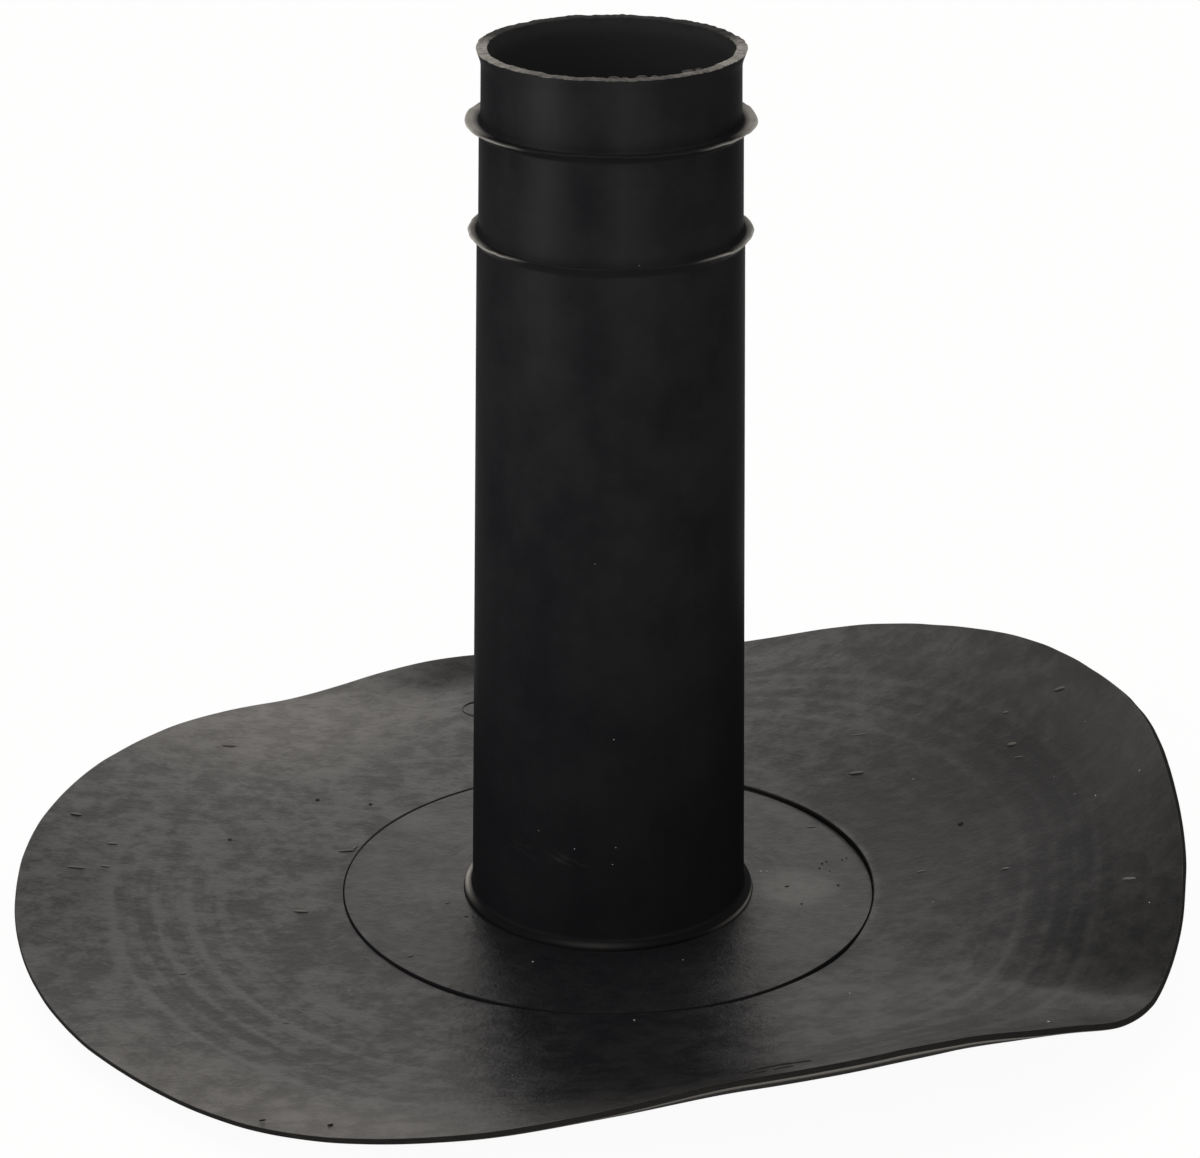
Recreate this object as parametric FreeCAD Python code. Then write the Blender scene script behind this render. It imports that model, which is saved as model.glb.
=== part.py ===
import FreeCAD, Part
import math
import os

# Roof drain outlet: one moulding in soft black rubber, standing on its flange with the tube up.
# The origin is on the tube's axis, at the flat underside of the disc. Millimetres, +Z up.

# Tube, measured on its outside
overall_height = 253.5
tube_base_radius = 39.5
tube_wall = 2.7
tube_draft = math.radians(0.9)
throat_length = 16.0

# Trimmed end of the tube, slightly flared by the cut
rim_flare = 1.25
rim_flare_height = 4.0
rim_wall = 3.0

# Two thin sealing lips that turn up, placed from the trimmed end, with a step in the tube at each
lip_setbacks = [50.7, 20.2]
lip_overhangs = [2.6, 4.0]
lip_rise = 2.3
lip_root_height = 2.4
lip_tip_thickness = 0.9
lip_step = 0.4

# Raised bead where the tube meets the disc
bead_width = 2.3
bead_height = 1.2
bead_chamfer = 1.2

# Flat stiff disc round the tube
disc_radius = 77.0
disc_thickness = 4.0

# Thin flange round the disc, its top a little below the disc's, with a curled and wavy rim
flange_radius = 171.5
flange_thickness = 2.0
flange_drop = 0.8
curl_root_radius = 40.0
curl_power = 1.4

# How steeply the sheet rises at the rim, at places in turn round it:
# angle from +X towards +Y, angle of the rise, both in degrees
rim_rises = [
    (0, 57.0),
    (32, 46.5),
    (59, 24.5),
    (80, 3.5),
    (127, -0.9),
    (144, 5.0),
    (172, 9.3),
    (208, 4.8),
    (236, 6.3),
    (258, 17.0),
    (283, 33.0),
    (303, 31.0),
    (329, 11.0),
    (344, 34.5),
]

# Narrow band at the rim that turns up further at the front, given in the same way
edge_band_width = 23.0
edge_rises = [
    (236, 0.0),
    (262, 5.0),
    (280, 16.0),
    (296, 21.0),
    (314, 5.0),
    (340, 0.0),
]

# Fineness of the curled sheet: control points round the rim and from the disc outwards, strides along it
sheet_columns = 48
sheet_rows = 8
sheet_degree = 3
sheet_tuck = 4.0
sheet_strides = 30

axis = FreeCAD.Vector(0, 0, 1)
origin = FreeCAD.Vector(0, 0, 0)


def tube_radius(height, lips_below):
    """Outside of the drafted tube, with its step at each lip passed on the way up."""
    fall = (height - disc_thickness) * math.tan(tube_draft)
    return tube_base_radius - fall - lips_below * lip_step


def lip_corners(index):
    """Section of one lip from its lower root, out to the tip and back in to its upper root."""
    tip_height = overall_height - lip_setbacks[index]
    root_bottom = tip_height - lip_rise
    root_top = root_bottom + lip_root_height
    root_radius = tube_radius(root_bottom, index)
    tip_radius = root_radius + lip_overhangs[index]
    slope = math.atan2(lip_rise, lip_overhangs[index])
    tip_back = lip_tip_thickness * math.sin(slope)
    tip_up = lip_tip_thickness * math.cos(slope)
    return [
        (root_radius, root_bottom),
        (tip_radius, tip_height),
        (tip_radius - tip_back, tip_height + tip_up),
        (tube_radius(root_top, index + 1), root_top),
    ]


def tube_and_disc():
    """Disc, bead, tube and lips turned from one section about the axis."""
    throat_radius = tube_base_radius - tube_wall
    bead_radius = tube_base_radius + bead_width
    bead_top = disc_thickness + bead_height
    chamfer_top = bead_top + bead_chamfer
    flare_start = overall_height - rim_flare_height
    end_radius = tube_radius(flare_start, len(lip_setbacks))
    rim_radius = end_radius + rim_flare
    corners = [
        (throat_radius, 0),
        (disc_radius, 0),
        (disc_radius, disc_thickness),
        (bead_radius, disc_thickness),
        (bead_radius, bead_top),
        (tube_radius(chamfer_top, 0), chamfer_top),
    ]
    for i in range(len(lip_setbacks)):
        corners += lip_corners(i)
    corners += [
        (end_radius, flare_start),
        (rim_radius, overall_height),
        (rim_radius - rim_wall, overall_height),
        (end_radius - tube_wall, flare_start),
        (throat_radius, throat_length),
    ]
    points = [FreeCAD.Vector(radius, 0, height) for radius, height in corners]
    section = Part.Face(Part.makePolygon(points + points[:1]))
    return section.revolve(origin, axis, 360)


def rise_sine(rises, angle):
    """Sine of the rise at an angle: a smooth closed curve through the listed rises.

    Its grade at each place is a mean of the grades on both sides, and zero at a crest or trough.
    """
    count = len(rises)
    sines = [math.sin(math.radians(rise)) for place, rise in rises]
    gaps = [(rises[(i + 1) % count][0] - rises[i][0]) % 360 for i in range(count)]
    slopes = [(sines[(i + 1) % count] - sines[i]) / gaps[i] for i in range(count)]
    grades = []
    for i in range(count):
        grade = 0
        if slopes[i - 1] * slopes[i] > 0:
            before = (2 * gaps[i] + gaps[i - 1]) / slopes[i - 1]
            after = (gaps[i] + 2 * gaps[i - 1]) / slopes[i]
            grade = 3 * (gaps[i] + gaps[i - 1]) / (before + after)
        grades.append(grade)
    for i in range(count):
        past = (angle - rises[i][0]) % 360
        if past < gaps[i]:
            share = past / gaps[i]
            blend = share ** 2 * (3 - 2 * share)
            ends = sines[i] + (sines[(i + 1) % count] - sines[i]) * blend
            leaving = grades[i] * share * (1 - share) ** 2
            arriving = grades[(i + 1) % count] * share ** 2 * (1 - share)
            return ends + gaps[i] * (leaving - arriving)


def sheet_sine(reach, rim_sine, edge_sine):
    """Sine of the sheet's slope at a reach: a power of the reach, and more in the band at the rim."""
    share = max(0, reach - curl_root_radius) / (flange_radius - curl_root_radius)
    edge_share = max(0, reach - flange_radius + edge_band_width) / edge_band_width
    return rim_sine * share ** curl_power + edge_sine * edge_share ** 2


def sheet_point(reach, angle, depth):
    """Radius and height of a point of the curled sheet.

    reach is its distance from the axis along the sheet, and depth is how far it lies below the top.
    The sheet is followed outwards in short strides along its slope, so it keeps its length.
    """
    rim_sine = rise_sine(rim_rises, angle)
    edge_sine = rise_sine(edge_rises, angle)
    stride = (reach - curl_root_radius) / sheet_strides
    radius = curl_root_radius
    height = disc_thickness - flange_drop
    for i in range(sheet_strides):
        sine = sheet_sine(curl_root_radius + (i + 0.5) * stride, rim_sine, edge_sine)
        radius += stride * math.sqrt(1 - sine ** 2)
        height += stride * sine
    sine = sheet_sine(reach, rim_sine, edge_sine)
    return radius + depth * sine, height - depth * math.sqrt(1 - sine ** 2)


def ring_of_poles(reach, depth):
    """Control points of one closed ring, set outwards so that the smooth ring has the stated radius."""
    step = 2 * math.pi / sheet_columns
    outset = 3 / (2 + math.cos(step))
    poles = []
    for i in range(sheet_columns):
        radius, height = sheet_point(reach, math.degrees(i * step), depth)
        x = radius * outset * math.cos(i * step)
        y = radius * outset * math.sin(i * step)
        poles.append(FreeCAD.Vector(x, y, height))
    return poles


def ring_face(rings, degree):
    """Smooth face through a stack of rings, closed round the axis."""
    spans = len(rings) - degree
    across_knots = list(range(spans + 1))
    across_mults = [degree + 1] + [1] * (spans - 1) + [degree + 1]
    round_knots = list(range(sheet_columns + 1))
    round_mults = [1] * (sheet_columns + 1)
    surface = Part.BSplineSurface()
    surface.buildFromPolesMultsKnots(
        rings, across_mults, round_mults, across_knots, round_knots, False, True, degree, sheet_degree
    )
    return surface.toShape()


def row_reaches():
    """Reach of each row of control points: the mean of the knots that the row acts on."""
    inner_reach = disc_radius - sheet_tuck
    spans = sheet_rows - sheet_degree
    knots = [0] * sheet_degree + list(range(spans + 1)) + [spans] * sheet_degree
    means = [sum(knots[i + 1:i + 1 + sheet_degree]) / sheet_degree for i in range(sheet_rows)]
    return [inner_reach + (flange_radius - inner_reach) * mean / spans for mean in means]


def curled_flange():
    """Sheet with a wavy rim, closed by its rim and an inner wall, and trimmed to the disc's edge."""
    top = [ring_of_poles(reach, 0) for reach in row_reaches()]
    underside = [ring_of_poles(reach, flange_thickness) for reach in row_reaches()]
    faces = Part.Compound([
        ring_face(top, sheet_degree),
        ring_face(underside, sheet_degree),
        ring_face([top[-1], underside[-1]], 1),
        ring_face([top[0], underside[0]], 1),
    ])
    faces.sewShape()
    sheet = Part.makeSolid(faces.Shells[0])
    if sheet.Volume < 0:
        sheet.reverse()
    below = flange_thickness + disc_thickness
    hole = Part.makeCylinder(disc_radius, below + overall_height, origin - axis * below, axis)
    return sheet.cut(hole)


os.makedirs("parts", exist_ok=True)
outlet = tube_and_disc().fuse(curled_flange()).Solids[0]
outlet.exportStep("parts/drain_outlet.step")
print("drain_outlet valid", outlet.isValid(), "volume", round(outlet.Volume), outlet.BoundBox)
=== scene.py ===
import math
import bpy
import numpy as np
from mathutils import Matrix, Vector


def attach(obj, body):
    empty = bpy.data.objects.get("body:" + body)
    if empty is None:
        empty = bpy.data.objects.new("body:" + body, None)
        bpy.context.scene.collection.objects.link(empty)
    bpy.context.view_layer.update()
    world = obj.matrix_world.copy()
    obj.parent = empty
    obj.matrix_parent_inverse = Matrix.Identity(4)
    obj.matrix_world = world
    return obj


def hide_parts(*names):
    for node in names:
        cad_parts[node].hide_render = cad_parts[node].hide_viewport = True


# Roof drain outlet in soft black rubber. Metres, same frame as the solids; sizes in the dictionaries are in mm.

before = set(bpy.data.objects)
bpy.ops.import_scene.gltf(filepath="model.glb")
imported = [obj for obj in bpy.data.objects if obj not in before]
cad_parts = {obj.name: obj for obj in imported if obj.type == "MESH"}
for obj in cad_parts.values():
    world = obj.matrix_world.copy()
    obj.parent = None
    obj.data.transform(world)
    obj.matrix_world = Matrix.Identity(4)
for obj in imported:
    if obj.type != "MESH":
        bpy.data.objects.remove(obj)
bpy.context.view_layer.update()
scene = bpy.context.scene
scene.view_settings.view_transform = "Standard"
mm = 0.001
print("frame loaded", sorted(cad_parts))


# camera

cameraSetting = {
    "place": (0.0, -0.95352, 0.49366),
    "pitchDown": 0.39135,
    "yaw": -0.0028,
    "roll": 0.0030,
    "focalPixels": 3665.2,
    "imageWidth": 1200,
    "sensor": 36.0,
}


def addCamera(setting):
    pitch, yaw, roll = setting["pitchDown"], setting["yaw"], setting["roll"]
    ahead = Vector((math.sin(yaw) * math.cos(pitch), math.cos(yaw) * math.cos(pitch), -math.sin(pitch)))
    side = ahead.cross(Vector((0, 0, 1))).normalized()
    up = side.cross(ahead)
    turnedSide = math.cos(roll) * side + math.sin(roll) * up
    turnedUp = math.cos(roll) * up - math.sin(roll) * side
    data = bpy.data.cameras.new("photoCamera")
    data.sensor_width = setting["sensor"]
    data.lens = setting["focalPixels"] / setting["imageWidth"] * setting["sensor"]
    data.clip_start = 0.05
    camera = bpy.data.objects.new("photoCamera", data)
    turn = Matrix((turnedSide, turnedUp, -ahead)).transposed().to_4x4()
    camera.matrix_world = Matrix.Translation(setting["place"]) @ turn
    scene.collection.objects.link(camera)
    scene.camera = camera


addCamera(cameraSetting)
print("camera placed")


# mesh helpers

def closedGrid(name, points):
    # rows run along a closed section, columns round the axis; both ends meet, faces point outwards
    rows, columns = points.shape[:2]
    here = np.arange(rows * columns).reshape(rows, columns)
    nextRow = np.roll(here, -1, axis=0)
    nextColumn = np.roll(here, -1, axis=1)
    across = np.roll(nextRow, -1, axis=1)
    quads = np.stack([here, nextColumn, across, nextRow], axis=-1).reshape(-1, 4)
    mesh = bpy.data.meshes.new(name)
    mesh.from_pydata(points.reshape(-1, 3) * mm, [], quads)
    mesh.polygons.foreach_set("use_smooth", np.ones(len(quads), dtype=bool))
    mesh.update()
    piece = bpy.data.objects.new(name, mesh)
    scene.collection.objects.link(piece)
    return piece


def cappedBodies(name, points):
    # many small closed bodies in one mesh: bodies x rings x columns, both ends of each capped
    bodies, rings, columns = points.shape[:3]
    here = np.arange(bodies * rings * columns).reshape(bodies, rings, columns)
    beside = np.roll(here, -1, axis=2)
    quads = np.stack([here[:, :-1], beside[:, :-1], beside[:, 1:], here[:, 1:]], axis=-1).reshape(-1, 4)
    caps = np.concatenate([here[:, 0, ::-1], here[:, -1]])
    mesh = bpy.data.meshes.new(name)
    mesh.from_pydata(points.reshape(-1, 3) * mm, [], quads.tolist() + caps.tolist())
    mesh.polygons.foreach_set("use_smooth", np.ones(len(mesh.polygons), dtype=bool))
    mesh.update()
    piece = bpy.data.objects.new(name, mesh)
    scene.collection.objects.link(piece)
    return piece


def addMark(piece, name, values):
    # a number for each vertex that the materials read by name
    layer = piece.data.attributes.new(name, "FLOAT", "POINT")
    layer.data.foreach_set("value", np.ascontiguousarray(values, dtype=np.float32).ravel())


def roundedLoop(corners):
    # closed section from corners: two coordinates, easing, steps round the corner, steps along the next side;
    # each corner is eased by a parabola, each side has its points closer together near its ends
    spots = np.array([corner[:2] for corner in corners], dtype=float)
    before = np.roll(spots, 1, axis=0)
    after = np.roll(spots, -1, axis=0)
    easing = np.array([corner[2] for corner in corners], dtype=float)[:, None]
    inTo = spots + (before - spots) / np.linalg.norm(before - spots, axis=1, keepdims=True) * easing
    outOf = spots + (after - spots) / np.linalg.norm(after - spots, axis=1, keepdims=True) * easing
    loop = []
    for i in range(len(corners)):
        easeSteps, runSteps = corners[i][3], corners[i][4]
        t = np.linspace(0, 1, easeSteps + 1)[:, None]
        loop.append((1 - t) ** 2 * inTo[i] + 2 * t * (1 - t) * spots[i] + t ** 2 * outOf[i])
        s = (1 - np.cos(np.linspace(0, np.pi, runSteps + 1)[1:-1])) / 2
        loop.append(outOf[i] + (inTo[(i + 1) % len(corners)] - outOf[i]) * s[:, None])
    return np.concatenate(loop)


def roundNoise(angle, count, seed):
    # smooth random wave round the axis, between -1 and 1, with the given number of bends
    values = np.random.default_rng(seed).uniform(-1, 1, count)
    place = angle / (2 * np.pi) * count
    first = np.floor(place).astype(int)
    share = place - first
    share = share * share * (3 - 2 * share)
    return values[first % count] * (1 - share) + values[(first + 1) % count] * share


def roundWaves(angle, waves):
    # sum of random waves: bends, seed and height of each
    return sum(height * roundNoise(angle, bends, seed) for bends, seed, height in waves)


def eased(value, low, high):
    # 0 below low, 1 above high, eased between
    share = np.clip((value - low) / (high - low), 0, 1)
    return share * share * (3 - 2 * share)


def bell(distance):
    return np.exp(-distance ** 2)


def turnGap(angle, centre):
    # signed difference of two angles in degrees, the short way round
    return (np.degrees(angle) - centre + 180) % 360 - 180


def edgePlaces(reach, angle, places):
    # sum of shares that grow outwards: degrees, half angle, share, reach where it starts and where it is whole
    total = 0
    for degrees, half, share, low, high in places:
        total = total + share * eased(reach, low, high) * bell(turnGap(angle, degrees) / half)
    return total


def spotPlaces(reach, angle, places):
    # sum of shares at spots: degrees, half angle, share, reach and half width along it
    total = 0
    for degrees, half, share, middle, spread in places:
        total = total + share * bell((reach - middle) / spread) * bell(turnGap(angle, degrees) / half)
    return total


# seam: the groove between the disc and the flange, wider at some places than at others

seam = {
    # degrees, width and depth of the groove, width of the disc's dark edge band (painted shade along the seam)
    "places": (
        (0, 0.35, 0.15, 0.30), (25, 0.5, 0.2, 0.35), (50, 1.0, 0.4, 0.8), (66, 1.2, 0.5, 1.7),
        (85, 1.2, 0.5, 1.6), (115, 1.0, 0.4, 1.4), (140, 0.8, 0.3, 1.0), (165, 0.35, 0.15, 0.4),
        (185, 0.15, 0.05, 0.26), (215, 0.3, 0.1, 0.28), (238, 0.9, 0.55, 0.35), (252, 0.6, 0.3, 0.30),
        (270, 0.4, 0.1, 0.25), (284, 1.2, 0.2, 0.35), (298, 1.8, 0.25, 0.40), (315, 1.0, 0.2, 0.35),
        (340, 0.5, 0.2, 0.30),
    ),
    "columns": {"width": 1, "depth": 2, "shadedDiscEdge": 3},
}


def seamAt(angle, measure):
    places = np.array(seam["places"])
    return np.interp(np.degrees(angle), places[:, 0], places[:, seam["columns"][measure]], period=360)


# stem: tube, lips, bead and disc

stem = {
    "height": 253.4,
    "baseRadius": 39.5,
    "wall": 2.7,
    "draft": math.tan(math.radians(0.9)),
    "throat": 16.0,
    "rimFlare": 1.4,
    "rimFlareHeight": 4.0,
    "rimWall": 3.0,
    "lipSetbacks": (50.6, 20.1),
    "lipOverhangs": (2.6, 4.0),
    "lipRise": 2.3,
    "lipRoot": 2.4,
    "lipTip": 0.7,
    "lipStep": 0.4,
    "beadWidth": 2.3,
    "beadHeight": 1.2,
    "beadChamfer": 1.2,
    "discRadius": 77.0,
    "discThickness": 4.0,
    "edgeBand": 0.30,
    "columns": 448,
    # uneven cut: how far down it fades, its mean drop and tilt, waves as roundWaves takes them
    "cutFade": 5.0,
    "cutDrop": 0.20,
    "cutTilt": 0.12,
    "cutWaves": ((31, 3, 0.12), (97, 4, 0.14), (211, 5, 0.10)),
    "rimWaves": ((43, 6, 0.14),),
    "faceWaves": ((173, 7, 0.08),),
    # slivers on the inner edge of the cut: how far in and down, where they crowd and over which half angle
    "burrIn": 1.5,
    "burrDown": 0.5,
    "burrAngle": 280,
    "burrHalf": 32,
    # lips: how far, at which angle and over which half angle they are pressed in, and how slack their edges are
    "lipPress": 1.1,
    "lipPressAngle": 270,
    "lipPressHalf": 48,
    "lipSlack": 0.14,
}


def tubeRadius(height, lipsBelow):
    fall = (height - stem["discThickness"]) * stem["draft"]
    return stem["baseRadius"] - fall - lipsBelow * stem["lipStep"]


def lipCorners(index):
    tipHeight = stem["height"] - stem["lipSetbacks"][index]
    low = tipHeight - stem["lipRise"]
    high = low + stem["lipRoot"]
    root = tubeRadius(low, index)
    tip = root + stem["lipOverhangs"][index]
    slope = math.atan2(stem["lipRise"], stem["lipOverhangs"][index])
    back = stem["lipTip"] * math.sin(slope)
    rise = stem["lipTip"] * math.cos(slope)
    return [
        (root, low, 0.7, 3, 4),
        (tip, tipHeight, 0.22, 2, 2),
        (tip - back, tipHeight + rise, 0.22, 2, 4),
        (tubeRadius(high, index + 1), high, 1.1, 5, 10 if index == 0 else 6),
    ]


def stemSection():
    throat = stem["baseRadius"] - stem["wall"]
    bead = stem["baseRadius"] + stem["beadWidth"]
    disc, thick = stem["discRadius"], stem["discThickness"]
    beadTop = thick + stem["beadHeight"]
    chamferTop = beadTop + stem["beadChamfer"]
    flareStart = stem["height"] - stem["rimFlareHeight"]
    end = tubeRadius(flareStart, 2)
    rim = end + stem["rimFlare"]
    corners = [
        (throat, 0, 0.5, 3, 8),
        (disc, 0, 0.6, 3, 4),
        (disc, thick, 0.22, 4, 2),
        (disc - stem["edgeBand"], thick, 0.02, 1, 16),
        (bead + 0.25, thick, 0.02, 1, 2),
        (bead, thick, 0.06, 1, 2),
        (bead, beadTop, 0.45, 4, 3),
        (tubeRadius(chamferTop, 0), chamferTop, 0.7, 4, 30),
    ]
    corners += lipCorners(0) + lipCorners(1)
    corners += [
        (end, flareStart, 1.2, 3, 4),
        (rim, stem["height"], 0.3, 3, 9),
        (rim - stem["rimWall"], stem["height"], 0.3, 3, 4),
        (end - stem["wall"], flareStart, 1.2, 3, 24),
        (throat, stem["throat"], 3.0, 3, 5),
    ]
    return roundedLoop(corners)


def buildStem():
    # the section turned round the axis; the cut end is uneven and the lips are a little wavy
    section = stemSection()
    rows = len(section)
    angle = np.linspace(0, 2 * np.pi, stem["columns"], endpoint=False)[None, :]
    flatRadius, flatHeight = section[:, :1], section[:, 1:]
    radius = flatRadius + 0 * angle
    height = flatHeight + 0 * angle
    # dark edge band of the disc, painted shade along the seam, widened inwards at some places
    onDisc = (flatHeight > stem["discThickness"] - 0.05) & (flatHeight < stem["discThickness"] + 0.05)
    onDisc = onDisc & (flatRadius < stem["discRadius"] - 0.25)
    widened = seamAt(angle, "shadedDiscEdge") - stem["edgeBand"]
    radius = radius - onDisc * eased(flatRadius, 70, stem["discRadius"] - 0.35) * widened
    # cut end: the rim falls by a random wave that fades out a few millimetres down
    nearRim = np.clip((height - stem["height"] + stem["cutFade"]) / stem["cutFade"], 0, 1) ** 2
    drop = stem["cutDrop"] + stem["cutTilt"] * np.sin(angle) + roundWaves(angle, stem["cutWaves"])
    height = height - nearRim * np.clip(drop, 0, 1)
    onCut = np.clip((flatHeight - stem["height"] + 1.0) / 0.6, 0, 1)
    radius = radius + nearRim * roundWaves(angle, stem["rimWaves"]) + onCut * roundWaves(angle, stem["faceWaves"])
    # burrs: slivers left by the knife on the inner edge, most of them at the front
    innerRadius = section[flatHeight[:, 0] > stem["height"] - 0.5, 0].min()
    innerEdge = onCut * bell((flatRadius - innerRadius) / 0.6)
    crowd = 0.25 + bell(turnGap(angle, stem["burrAngle"]) / stem["burrHalf"])
    burr = innerEdge * np.clip(roundNoise(angle, 160, 9) - 0.35, 0, 1) * crowd
    radius = radius - stem["burrIn"] * burr
    height = height - stem["burrDown"] * burr
    # lips: each edge waves up and down by a fraction of a millimetre
    lipShare, tipShare, belowShare = 0 * radius, 0 * radius, 0 * radius
    for index in range(2):
        tipHeight = stem["height"] - stem["lipSetbacks"][index]
        away = flatRadius - tubeRadius(flatHeight, index) - 0.3
        onLip = np.clip(away / 2, 0, 1) * (np.abs(flatHeight - tipHeight) < 4)
        height = height + onLip * roundWaves(angle, ((23, 11 + index, 0.22), (90, 15 + index, 0.12)))
        pressed = stem["lipPress"] * bell(turnGap(angle, stem["lipPressAngle"]) / stem["lipPressHalf"])
        slack = stem["lipSlack"] * (roundNoise(angle, 60, 21 + index) - 1)
        radius = radius + onLip * (slack - pressed)
        lipShare = lipShare + onLip
        overhang = stem["lipOverhangs"][index]
        tip = tubeRadius(tipHeight - stem["lipRise"], index) + overhang
        above = flatHeight - tipHeight + stem["lipRise"] * (tip - flatRadius) / overhang
        belowShare = belowShare + onLip * (1 - 0.15 * eased(above, 0.25, 0.6))
        tipShare = tipShare + bell((flatRadius - tip) / 0.35) * bell((flatHeight - tipHeight) / 0.5)
    points = np.stack([radius * np.cos(angle), radius * np.sin(angle), height], axis=-1)
    piece = closedGrid("outletStem", points)
    # marks: pale cut face, painted highlights on the lips at the sides and on the bead, the bore, arc, height and
    # reach
    sideways = np.abs(np.cos(angle))
    # the cut face is paler than the tube, and painted paler at the front and the sides than at the back as
    # painted light
    pale = 0.06 + 0.30 * np.clip(-np.sin(angle), 0, 1) + sideways ** 3 * eased(-np.sin(angle), -0.5, 0.1)
    pale = np.clip(pale * (1 + 0.3 * roundNoise(angle, 140, 51)), 0, 1)
    # painted highlights on the lip edges at the sides and on the bead at the left, front and right
    tipHighlight = 0.8 * tipShare * eased(sideways, 0.55, 0.85)
    wing = np.clip(belowShare, 0, 1) * np.maximum(eased(sideways, 0.82, 1.0), tipHighlight)
    onBead = bell((flatRadius - stem["baseRadius"] - 1.4) / 0.8) * bell((flatHeight - 5.5) / 0.9)
    beadHighlight = 0.9 * bell(turnGap(angle, 176) / 15) + 0.06 * bell(turnGap(angle, 264) / 15)
    beadRadius = stem["baseRadius"] + stem["beadWidth"]
    beadEdgeHighlight = bell((flatRadius - beadRadius) / 0.18) * (flatHeight > 4.2) * (flatHeight < 6)
    wing = wing + onBead * beadHighlight + 0.5 * beadEdgeHighlight * bell(turnGap(angle, 347) / 20)
    inside = (flatRadius < tubeRadius(flatHeight, 2) - 1.5) & (flatHeight > 0.3)
    addMark(piece, "cutFace", (flatHeight > stem["height"] - 0.2) * pale)
    addMark(piece, "wing", np.clip(wing, 0, 1))
    addMark(piece, "bore", inside + 0 * angle)
    addMark(piece, "arc", stem["baseRadius"] * ((angle + 1.5 * np.pi) % (2 * np.pi) - np.pi) + 0 * radius)
    addMark(piece, "rise", height)
    addMark(piece, "reach", radius)
    # finishes: 0 tube, 1 disc, 2 lips and bead
    nextRadius, nextHeight = np.roll(section[:, 0], -1), np.roll(section[:, 1], -1)
    nearest, farthest = np.minimum(section[:, 0], nextRadius), np.maximum(section[:, 0], nextRadius)
    highest = np.maximum(section[:, 1], nextHeight)
    chamferTop = stem["discThickness"] + stem["beadHeight"] + stem["beadChamfer"]
    low = (highest < chamferTop) & (nearest > stem["baseRadius"] - 0.5)
    # the disc's edge band takes the tube's dark, unreflecting rubber: painted shade along the seam
    edge = nearest > stem["discRadius"] - stem["edgeBand"] - 0.03
    lip = np.maximum(lipShare[:, 0], np.roll(lipShare[:, 0], -1)) > 0.02
    lip = lip | (low & (highest > stem["discThickness"] + 0.3))
    foot = (farthest < beadRadius + 0.28) & (section[:, 1] > 2)
    finish = np.where(lip, 2, np.where(low & ~edge & ~foot, 1, 0)).astype(np.int32)
    piece.data.polygons.foreach_set("material_index", np.repeat(finish, stem["columns"]))
    print("stem", rows, "rows", 2 * rows * stem["columns"], "triangles")
    return piece


# flange: thin curled sheet round the disc

flange = {
    "radius": 171.25,
    "innerRadius": 76.9,
    "thickness": 2.0,
    "drop": 0.8,
    "curlRoot": 40.0,
    "curlPower": 1.4,
    "rimRises": (
        (0, 57.0), (32, 46.5), (59, 24.5), (80, 3.5), (127, -0.9), (144, 5.0), (172, 9.3),
        (208, 4.8), (236, 6.3), (258, 17.0), (283, 33.0), (303, 31.0), (329, 11.0), (344, 34.5),
    ),
    "edgeBand": 23.0,
    "edgeRises": ((236, 0.0), (262, 5.0), (280, 16.0), (296, 21.0), (314, 5.0), (340, 0.0)),
    "creaseAngle": 329.5,
    "creaseWidth": 4.5,
    "creaseDepth": 0.021,
    "creaseFade": 0.7,
    "creaseFadeReach": (130, 166),
    # bends of the rim and dents beside it, as edgePlaces and spotPlaces take them
    "bends": (
        (109, 9, 1.7, 150, 172), (125, 7, -1.3, 138, 172), (273, 6, -0.6, 130, 165),
        (289, 14, -2.2, 148, 171), (316.5, 5.5, 1.1, 148, 171),
    ),
    "dents": ((109, 9, -1.0, 146, 11), (292, 11, 1.45, 154, 14)),
    # thinned rim, painted reflection in a pale strip under the rim, dulled side, painted sheen and painted shade,
    # given in the same way
    "thinnedEdges": ((218, 42, 0.75, 156.25, 171.25),),
    "reflectionEdges": ((300, 45, 1.0, 169.45, 170.95),),
    "dulledEdges": ((12, 54, 1.0, 77, 80),),
    "sheenEdges": ((244, 33, 0.85, 131.25, 167.25), (133, 20, 0.75, 95, 140), (34, 43, 0.50, 138, 160)),
    "sheenSpots": ((50, 18, 0.27, 132, 18),),
    "paintedShadeEdges": ((107, 7.5, 0.6, 147, 161), (186, 14, 0.14, 138, 150)),
    "creaseShade": ((336, 10, 0.56, 112, 154),),
    # rings left by the mould: distance apart, height, middle and half width of their band
    "ringPitch": 6.4,
    "ringHeight": 0.042,
    "ringReach": 128,
    "ringSpread": 26,
    "wobble": 0.05,
    # uneven trim of the rim: bends, seed and height of each wave, mean cut, and how far in it fades
    "trimWaves": ((37, 41, 0.18), (120, 42, 0.12)),
    "trimCut": 0.25,
    "trimFade": 12.0,
    "floorGap": 0.02,
    "rimEase": 0.25,
    "smoothing": 7.5,
    "strides": 200,
    "columns": 820,
    "topRows": 80,
    "undersideRows": 26,
}


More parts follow.
